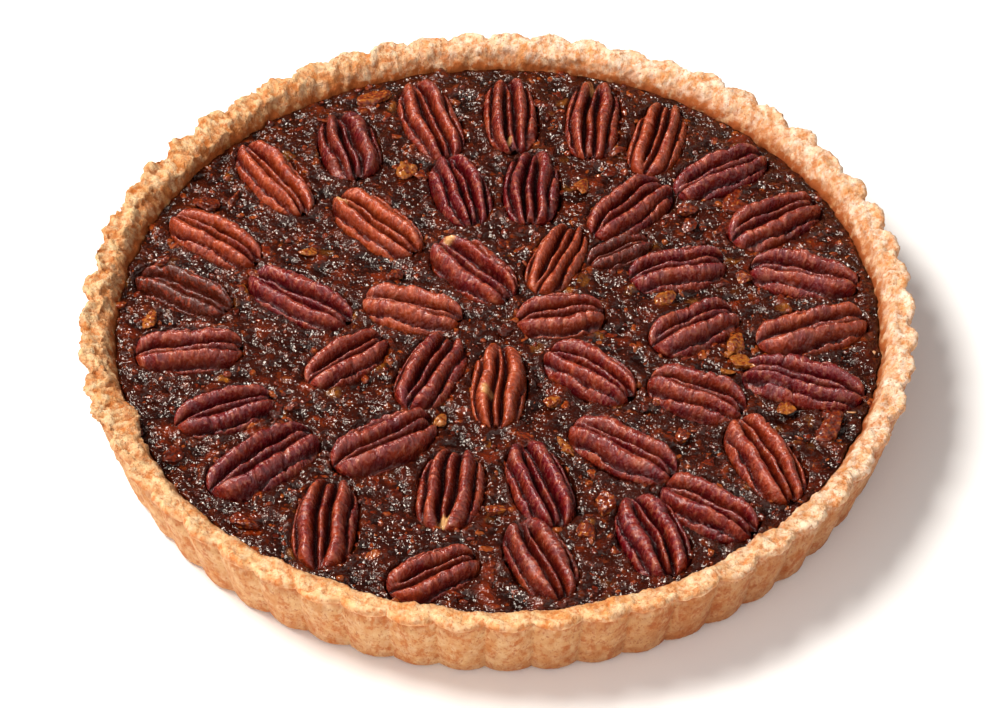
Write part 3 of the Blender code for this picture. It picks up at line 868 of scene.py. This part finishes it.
def syruped(name, tones, roughness, bump_height):
    """Broken nut under a film of syrup, wet-looking: the tone of each bit picks from three colours."""
    material, tree, shader, place = new_material(name)
    tone = add_node(tree, "ShaderNodeAttribute", {"attribute_name": "tone"}).outputs["Fac"]
    mottle = patches(tree, place, 1 / 1.2, 0.3, 0.7, -0.5, 0.4, Detail=3)
    own = add_node(tree, "ShaderNodeMath", {"operation": "ADD", "use_clamp": True}, {0: tone, 1: mottle})
    coats = []
    for tint, low, high in zip(tones[1:], (0.1, 0.6), (0.55, 0.95)):
        step = add_node(tree, "ShaderNodeMapRange", {}, {"Value": own, "From Min": low, "From Max": high})
        coats.append(("MIX", step, tint))
    tree.links.new(coated(tree, linear(tones[0]), coats), shader.inputs["Base Color"])
    shader.inputs["Roughness"].default_value = roughness
    shader.inputs["Specular IOR Level"].default_value = SYRUP_SHINE
    shader.inputs["Specular Tint"].default_value = linear(SYRUP_GLEAM)
    grain = add_node(tree, "ShaderNodeTexNoise", {}, {"Vector": place, "Scale": 1 / 1.9, "Detail": 1})
    wet = add_node(tree, "ShaderNodeBump", {}, {"Strength": 1, "Distance": bump_height, "Height": grain})
    tree.links.new(wet.outputs[0], shader.inputs["Normal"])
    return material


def bed_bits(name, shapes, finish, spacing, sizes, sunk, patch, seed):
    """One piece of scattered bits of one kind, on the open custard."""
    mesh = grown(
        filling,
        bedding,
        {
            "Shapes": shapes,
            "Spacing": spacing,
            "Smallest": sizes[0] / 2,
            "Largest": sizes[1] / 2,
            "Sunk": sunk,
            "Patch size in mm": patch,
            "Seed": seed,
            "Finish": finish,
        },
    )
    piece = new_piece(name, mesh)
    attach(piece, "root")


def large_bits(finish):
    """The largest bits, each where it lies, bedded to half its thickness."""
    joined = bmesh.new()
    tones = []
    for number, (x, y, length, width, turn, tone) in enumerate(BIT_ROWS):
        chip = chip_mesh(number + 20, 4, CHIP_FLATS)
        place = Matrix.Translation((x * MM, y * MM, filling_level(x * MM, y * MM) + BIT_RISE))
        turned = Matrix.Rotation(math.radians(turn), 4, "Z")
        # A cut chip is about 1.6 units long and 1.2 wide.
        size = Matrix.Diagonal((length * MM * 0.62, width * MM / 2 / 0.6, width * MM * 0.7, 1))
        chip.transform(place @ turned @ size)
        before = len(joined.verts)
        joined.from_mesh(chip)
        tones += [tone] * (len(joined.verts) - before)
        bpy.data.meshes.remove(chip)
    mesh = bpy.data.meshes.new("large bits")
    joined.to_mesh(mesh)
    joined.free()
    keep(mesh, "tone", tones)
    mesh.materials.append(finish)
    mesh.shade_smooth()
    piece = new_piece("large_nut_bits", mesh)
    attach(piece, "root")


bedding = scattering()
fine_shapes = shape_collection("grain", 1, 3)
crumb_shapes = shape_collection("crumb", 2, 5)
chip_shapes = shape_collection("chip", 3, CHIP_FLATS)
syrup_grain = syruped("syrup-soaked nut grains", ("#38130a", "#59200d", "#7d3212"), 0.08, 1.2 * MM)
syrup_chip = syruped("syrup-glazed chopped pecan", ("#421208", "#70220d", "#934517"), 0.1, 1.3 * MM)
syrup_chunk = syruped("syrup-glazed pecan chunks", ("#45140a", "#762810", "#a05c22"), 0.1, 1.3 * MM)
bed_bits("nut_grains_fine", fine_shapes, syrup_grain, 2.2 * MM, (1.2 * MM, 2.6 * MM), 0.4 * MM, 6, 3)
bed_bits("nut_crumbs", crumb_shapes, syrup_chip, 4.4 * MM, (2.6 * MM, 5 * MM), 0.7 * MM, 11, 5)
bed_bits("chopped_nuts", chip_shapes, syrup_chip, 9.5 * MM, (5 * MM, 9 * MM), 1.2 * MM, 14, 9)
large_bits(syrup_chunk)
for shapes in (fine_shapes, crumb_shapes, chip_shapes):
    for shape in list(shapes.objects):
        bpy.data.objects.remove(shape)
    bpy.data.collections.remove(shapes)

# Pale flakes. Three thin flakes of baked pastry broke off the rim and landed on the filling at its right
# edge, where the syrup holds them. Each row is its place, length and width in mm, and its turn in degrees.
FLAKE_ROWS = ((121, 4, 3.4, 1.8, 25), (125.5, -17, 2.2, 2.2, 100), (116, -44, 4.2, 1.4, 170))
FLAKE_RISE = 1.2 * MM
FLAKE_THICKNESS = 0.7 * MM
FLAKE_TILT = 0.35

broken_off = bmesh.new()
for number, (x, y, length, width, turn) in enumerate(FLAKE_ROWS):
    flake = chip_mesh(number + 50, 3, 4)
    place = Matrix.Translation((x * MM, y * MM, filling_level(x * MM, y * MM) + FLAKE_RISE))
    turned = Matrix.Rotation(math.radians(turn), 4, "Z") @ Matrix.Rotation(FLAKE_TILT, 4, "X")
    size = Matrix.Diagonal((length * MM / 2, width * MM / 2, FLAKE_THICKNESS, 1))
    flake.transform(place @ turned @ size)
    broken_off.from_mesh(flake)
    bpy.data.meshes.remove(flake)
flake_mesh = bpy.data.meshes.new("flakes")
broken_off.to_mesh(flake_mesh)
broken_off.free()
keep(flake_mesh, "stands", np.full(len(flake_mesh.vertices), 0.5))
flake_mesh.materials.append(pastry)
flake_mesh.shade_smooth()
flakes = new_piece("pastry_flakes", flake_mesh)
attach(flakes, "root")

# The pecan halves. Whole toasted half nuts, laid by hand flat side down in three rings: two plump lobes
# either side of a deep furrow with a keel in it, lower wrinkled lobes outside them, and a satin red skin.
HALF_ALONG = 90
HALF_TOP = 60
HALF_UNDER = 8
JOIN_SHARPNESS = 9

# Each half's tone, from wine red at 0 to orange brown at 1 or more; which end its furrow runs out of,
# along its turn or against it; and how strongly the lower lobes stand out on its left and right.
HALF_LOOKS = {
    1: (0.45, -1, 0.7, 0.7), 2: (0.5, -1, 0.6, 0.6), 3: (0.15, -1, 0.9, 0.3), 4: (0.85, -1, 0.7, 0.4),
    5: (0.8, -1, 0.6, 0.3), 6: (0.6, -1, 0.5, 0.5), 7: (0.4, 1, 0.5, 0.5), 8: (0.1, 1, 0.5, 0.4),
    9: (0.1, 1, 0.6, 0.3), 10: (0.5, 1, 0.4, 0.4), 11: (0.5, 1, 0.4, 0.4), 12: (0.4, -1, 0.5, 0.4),
    13: (0.1, -1, 0.5, 0.5), 14: (0.25, -1, 0.6, 0.4), 15: (0.65, -1, 0.5, 0.5), 16: (0, 1, 0.9, 0.5),
    17: (0.6, 1, 0.5, 0.4), 18: (0.3, 1, 0.6, 0.4), 19: (0.35, 1, 0.5, 0.5), 20: (0.1, 1, 0.5, 0.6),
    21: (0.85, 1, 0.5, 0.7), 22: (0.5, -1, 0.7, 0.6), 23: (0.05, -1, 0.8, 0.7), 24: (1.05, -1, 0.8, 0.4),
    25: (0.15, -1, 0.6, 0.4), 26: (0.5, 1, 0.5, 0.4), 27: (0.35, 1, 0.6, 0.4), 28: (0.5, 1, 0.7, 0.5),
    29: (0.1, -1, 0.6, 0.4), 30: (0.3, -1, 0.4, 0.4), 31: (0.35, -1, 0.7, 0.4), 32: (0.35, 1, 0.4, 0.3),
    33: (0.2, 1, 0.6, 0.4), 34: (0.4, 1, 0.4, 0.5), 35: (0.1, -1, 0.7, 0.6), 36: (0.4, -1, 0.3, 0.9),
    37: (0.8, -1, 0.6, 0.4), 38: (0.35, 1, 0.5, 0.6), 39: (1.15, -1, 0.5, 0.3), 40: (0.35, -1, 0.7, 0.5),
    41: (0.5, 1, 0.8, 0.3), 42: (1.05, 1, 0.5, 0.8), 43: (0.45, 1, 0.4, 0.4),
}

# How much of a half is sunk under syrup, which leaves it dark, wet and speckled.
GLAZED = {6: 0.9, 43: 0.7, 3: 0.25, 12: 0.3}

# Where the red skin is rubbed through to the pale flesh: the half's number, and the place in shares of its
# half length and half width, with the spread in the same shares.
SCUFFS = (
    (39, -0.25, 0.35, 0.16), (28, -0.9, -0.1, 0.2), (17, -0.55, -0.3, 0.14),
    (22, 0.8, 0.2, 0.16), (36, 0.8, -0.3, 0.14), (24, 0.75, 0.35, 0.16), (1, -0.8, 0.3, 0.14),
)


def ridge(place, middle, spread, power=2):
    """A rounded ridge: one along its middle and nothing a spread away."""
    return np.sqrt(np.maximum(0, 1 - np.abs((place - middle) / spread) ** power))


def half_surface(number, size):
    """The points of one half in its own axes, from its base's middle, and how far each one stands out."""
    length, width, height = size
    _, open_end, left, right = HALF_LOOKS[number]
    draw = np.random.default_rng(number)
    phase = draw.uniform(0, math.tau, 6)
    # s runs along the half and t across it, both from -1 to 1. Rows close up at the ends and the edge.
    along = np.sin(np.linspace(-math.pi / 2, math.pi / 2, HALF_ALONG + 1))
    along = 0.5 * along + 0.5 * np.linspace(-1, 1, HALF_ALONG + 1)
    top = np.linspace(-1, 1, HALF_TOP + 1)
    top = 0.7 * top + 0.3 * np.sin(top * math.pi / 2)
    under = np.linspace(1, -1, HALF_UNDER + 1)[1:-1]
    s = np.repeat(along[:, None], HALF_TOP + HALF_UNDER, axis=1)
    t = np.repeat(np.concatenate([top, under])[None, :], HALF_ALONG + 1, axis=0)
    is_top = np.arange(HALF_TOP + HALF_UNDER)[None, :] <= HALF_TOP
    # How the half narrows and sinks to its ends, and how its furrow leans and wanders.
    to_open = s * open_end
    closing = smooth_step(to_open, -1, -0.5)
    reach = np.maximum(0, 1 - np.abs(s) ** 2.8) ** (1 / 2.1)
    rise = np.maximum(0, 1 - np.abs(s) ** 4) ** 0.5
    wander = draw.uniform(-0.09, 0.09) + 0.05 * np.sin(2.1 * s + phase[0]) + 0.02 * np.sin(6 * s + phase[1])
    lean = (t - wander) * reach / (0.5 + 0.5 * reach)
    a = np.abs(lean)
    is_left = lean > 0
    side = np.where(is_left, left, right)
    # The keel in the furrow, a plump lobe on either side of it, and a lower lobe outside each of those.
    keel_width = draw.uniform(0.15, 0.21) * (0.85 + 0.2 * to_open)
    keel_place = draw.choice((-1, 1)) * 0.13 * (1 - closing) + 0.015 * np.sin(5 * s + phase[5])
    keel_height = draw.uniform(0.66, 0.88) * (0.92 + 0.1 * to_open)
    trench = (keel_width + 0.06) * (0.35 + 0.65 * closing)
    parting = 0.95 - 0.42 * side + 0.05 * np.sin(4.3 * s + phase[2] + 2 * is_left) - 0.04 * to_open
    main = ridge(a, (trench + parting) / 2, (parting - trench) / 2 * 1.02, 2.3)
    main_height = 0.93 + 0.07 * np.sin(3 * s + phase[3] + 3 * is_left)
    outer = ridge(a, (parting + 1.06) / 2, (1.06 - parting) / 2 * 1.03, 2.2)
    outer_height = (0.46 + 0.3 * side) * smooth_step(1 - np.abs(s - 0.2 * np.sin(phase[4])), 0.05, 0.4)
    keel = ridge(lean, keel_place, keel_width)
    parts = np.stack([main * main_height, outer * outer_height, keel * keel_height, 0.3 + 0 * s])
    shape = (parts**JOIN_SHARPNESS).sum(axis=0) ** (1 / JOIN_SHARPNESS)
    notch = 0.1 * ridge(lean, 0, 0.22) * smooth_step(to_open, 0.55, 1)
    x = (s - open_end * notch * np.abs(s)) * length / 2
    bow = draw.uniform(-0.07, 0.07)
    y = (t * reach + bow * (1 - s**2)) * width / 2
    # Folds, deeper towards the edge, and three creases that run across a lobe.
    far = np.maximum(0, a - 0.4) / 0.6
    folds = np.empty(s.shape)
    for i in range(s.shape[0]):
        for j in range(s.shape[1]):
            u, v = x[i, j] / MM, y[i, j] / MM
            narrow = noise.noise(Vector((u / 0.9, v / 2.6, number * 7)))
            wide = noise.noise(Vector((u / 2.9, v / 3.4, number * 9)))
            dent = noise.noise(Vector((u / 6, v / 3.5, number * 5)))
            folds[i, j] = narrow * (0.035 + 0.06 * far[i, j]) + wide * (0.05 + 0.12 * far[i, j])
            folds[i, j] += 0.11 * dent
    for _ in range(3):
        place, slant, width_of = draw.uniform(-0.7, 0.7), draw.uniform(-0.3, 0.3), draw.uniform(0.02, 0.045)
        one_side = is_left if draw.uniform() < 0.5 else ~is_left
        crease = np.exp(-(((s - place - slant * lean) / width_of) ** 2)) * smooth_step(a, 0.2, 0.5)
        folds -= draw.uniform(0.05, 0.14) * crease * one_side
    edge = np.sqrt(np.maximum(0, 1 - np.abs(t) ** 7))
    wrinkled = (shape + folds * smooth_step(1 - np.abs(t), 0, 0.15)) * edge
    relief = np.where(is_top, wrinkled, 0.03 * (1 - np.abs(t)))
    z = height * (0.2 * (1 - rise) + relief * rise)
    points = np.stack([x, y, z], axis=-1)
    # How far each point stands out of the furrows, and where the skin is rubbed, for the material.
    own = np.maximum(np.maximum(main, 0.9 * outer), 0.8 * keel)
    stands = np.clip((own - 0.45) / 0.45 + folds * 2.5, 0, 1)
    stands = np.maximum(stands, 0.45 * smooth_step(np.abs(t), 0.8, 1))
    rubbed = np.zeros(s.shape)
    for half_number, place, beside, spread in SCUFFS:
        if half_number == number:
            away = ((s - place) / spread) ** 2 + ((t - beside) / spread / 1.6) ** 2
            rubbed = np.maximum(rubbed, np.exp(-away) * is_top)
    return points, np.where(is_top, stands, 0.2), rubbed


def half_mesh(number, half):
    points, stands, rubbed = half_surface(number, half["size"])
    rows, around = stands.shape
    world = points.reshape(-1, 3) @ half["axes"] + half["base"]
    ring, step = np.meshgrid(np.arange(rows - 1), np.arange(around), indexing="ij")
    here, beside = ring * around + step, ring * around + (step + 1) % around
    faces = np.stack([here, here + around, beside + around, beside], axis=-1).reshape(-1, 4)
    mesh = bpy.data.meshes.new("pecan half")
    mesh.from_pydata(world.tolist(), [], faces.tolist())
    keep(mesh, "crest", stands.ravel())
    keep(mesh, "tone", np.full(len(world), HALF_LOOKS[number][0]))
    keep(mesh, "rubbed", rubbed.ravel())
    keep(mesh, "glazed", np.full(len(world), GLAZED.get(number, 0)))
    grain = points.reshape(-1, 3) / MM + [0, 0, number * 30]
    mesh.attributes.new("grain", "FLOAT_VECTOR", "POINT").data.foreach_set(
        "vector", grain.astype(np.float32).ravel()
    )
    shell = bmesh.new()
    shell.from_mesh(mesh)
    bmesh.ops.remove_doubles(shell, verts=shell.verts, dist=0.01 * MM)
    bmesh.ops.recalc_face_normals(shell, faces=shell.faces)
    shell.to_mesh(mesh)
    shell.free()
    mesh.shade_smooth()
    return mesh


def toasted_pecan():
    """Toasted pecan skin: satin, with a film of oil and syrup on the lobes, pale streaks that are partly
    painted sheen, and dark wine red furrows and folds that are painted shade.
    """
    material, tree, shader, place = new_material("toasted pecan skin")
    names = ("tone", "crest", "rubbed", "glazed")
    kept = [add_node(tree, "ShaderNodeAttribute", {"attribute_name": name}).outputs["Fac"] for name in names]
    tone, crest, rubbed, glazed = kept
    mottle = patches(tree, place, 1 / 7, 0.3, 0.7, -0.45, 0.45, Detail=3)
    own = add_node(tree, "ShaderNodeMath", {"operation": "ADD", "use_clamp": True}, {0: tone, 1: mottle})
    # The fine folds run across a half, so their noise is drawn out across it.
    grain = add_node(tree, "ShaderNodeAttribute", {"attribute_name": "grain"}).outputs["Vector"]
    stretch = (1 / 1.5, 1 / 3.6, 1 / 3)
    folded = add_node(tree, "ShaderNodeVectorMath", {"operation": "MULTIPLY"}, {0: grain, 1: stretch})
    looks = {"Scale": 1, "Detail": 4, "Roughness": 0.6}
    folds = add_node(tree, "ShaderNodeTexNoise", {}, {"Vector": folded, **looks})
    # Pale streaks along the folds: partly the skin's own streaks, partly painted sheen.
    limits = {"From Min": 0.52, "From Max": 0.66, "To Max": 0.45}
    streak_and_sheen = add_node(tree, "ShaderNodeMapRange", {}, {"Value": folds, **limits})
    lobes = coated(tree, linear("#780612"), [("MIX", own, "#b04318"), ("MIX", streak_and_sheen, "#c27857")])
    # Painted shade: the furrows get a darker colour than the lit crests, and the fine folds darken the lobes
    # in turn.
    tints = {FROM: linear("#330408"), TO: linear("#4a0c06")}
    furrows = add_node(tree, "ShaderNodeMix", {"data_type": "RGBA"}, {SHARE: own, **tints})
    limits = {"From Min": 0.36, "From Max": 0.56, "To Min": 0.5}
    shade = add_node(tree, "ShaderNodeMapRange", {}, {"Value": folds, **limits})
    lit = add_node(tree, "ShaderNodeMath", {"operation": "MULTIPLY"}, {0: crest, 1: shade})
    worn = add_node(tree, "ShaderNodeMath", {"operation": "MULTIPLY"}, {0: rubbed, 1: folds})
    bare = add_node(tree, "ShaderNodeMapRange", {}, {"Value": worn, "From Min": 0.2, "From Max": 0.45})
    pooled = patches(tree, place, 1 / 2, 0.35, 0.5, Detail=3)
    under_syrup = add_node(tree, "ShaderNodeMath", {"operation": "MULTIPLY"}, {0: glazed, 1: pooled})
    coats = (("MIX", lit, lobes), ("MIX", bare, "#dca468"), ("MIX", under_syrup, "#4a180a"))
    tree.links.new(coated(tree, furrows.outputs[MIXED], coats), shader.inputs["Base Color"])
    satin = patches(tree, place, 1 / 2.5, 0.35, 0.65, 0.12, 0.28, Detail=2)
    tree.links.new(satin, shader.inputs["Roughness"])
    shader.inputs["Specular IOR Level"].default_value = 0.4
    film = add_node(tree, "ShaderNodeMapRange", {}, {"Value": crest, "To Min": 0.1})
    tree.links.new(film.outputs[0], shader.inputs["Coat Weight"])
    shader.inputs["Coat Roughness"].default_value = 0.12
    wrinkled = add_node(tree, "ShaderNodeBump", {}, {"Strength": 1, "Distance": 1.2 * MM, "Height": folds})
    tree.links.new(wrinkled.outputs[0], shader.inputs["Normal"])
    tree.links.new(wrinkled.outputs[0], shader.inputs["Coat Normal"])
    return material


skin = toasted_pecan()
for name, half in halves.items():
    number = int(name[-2:])
    nut = new_piece(f"pecan_half_{number:02d}", half_mesh(number, half))
    nut.data.materials.append(skin)
    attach(nut, "root")
    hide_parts(name)
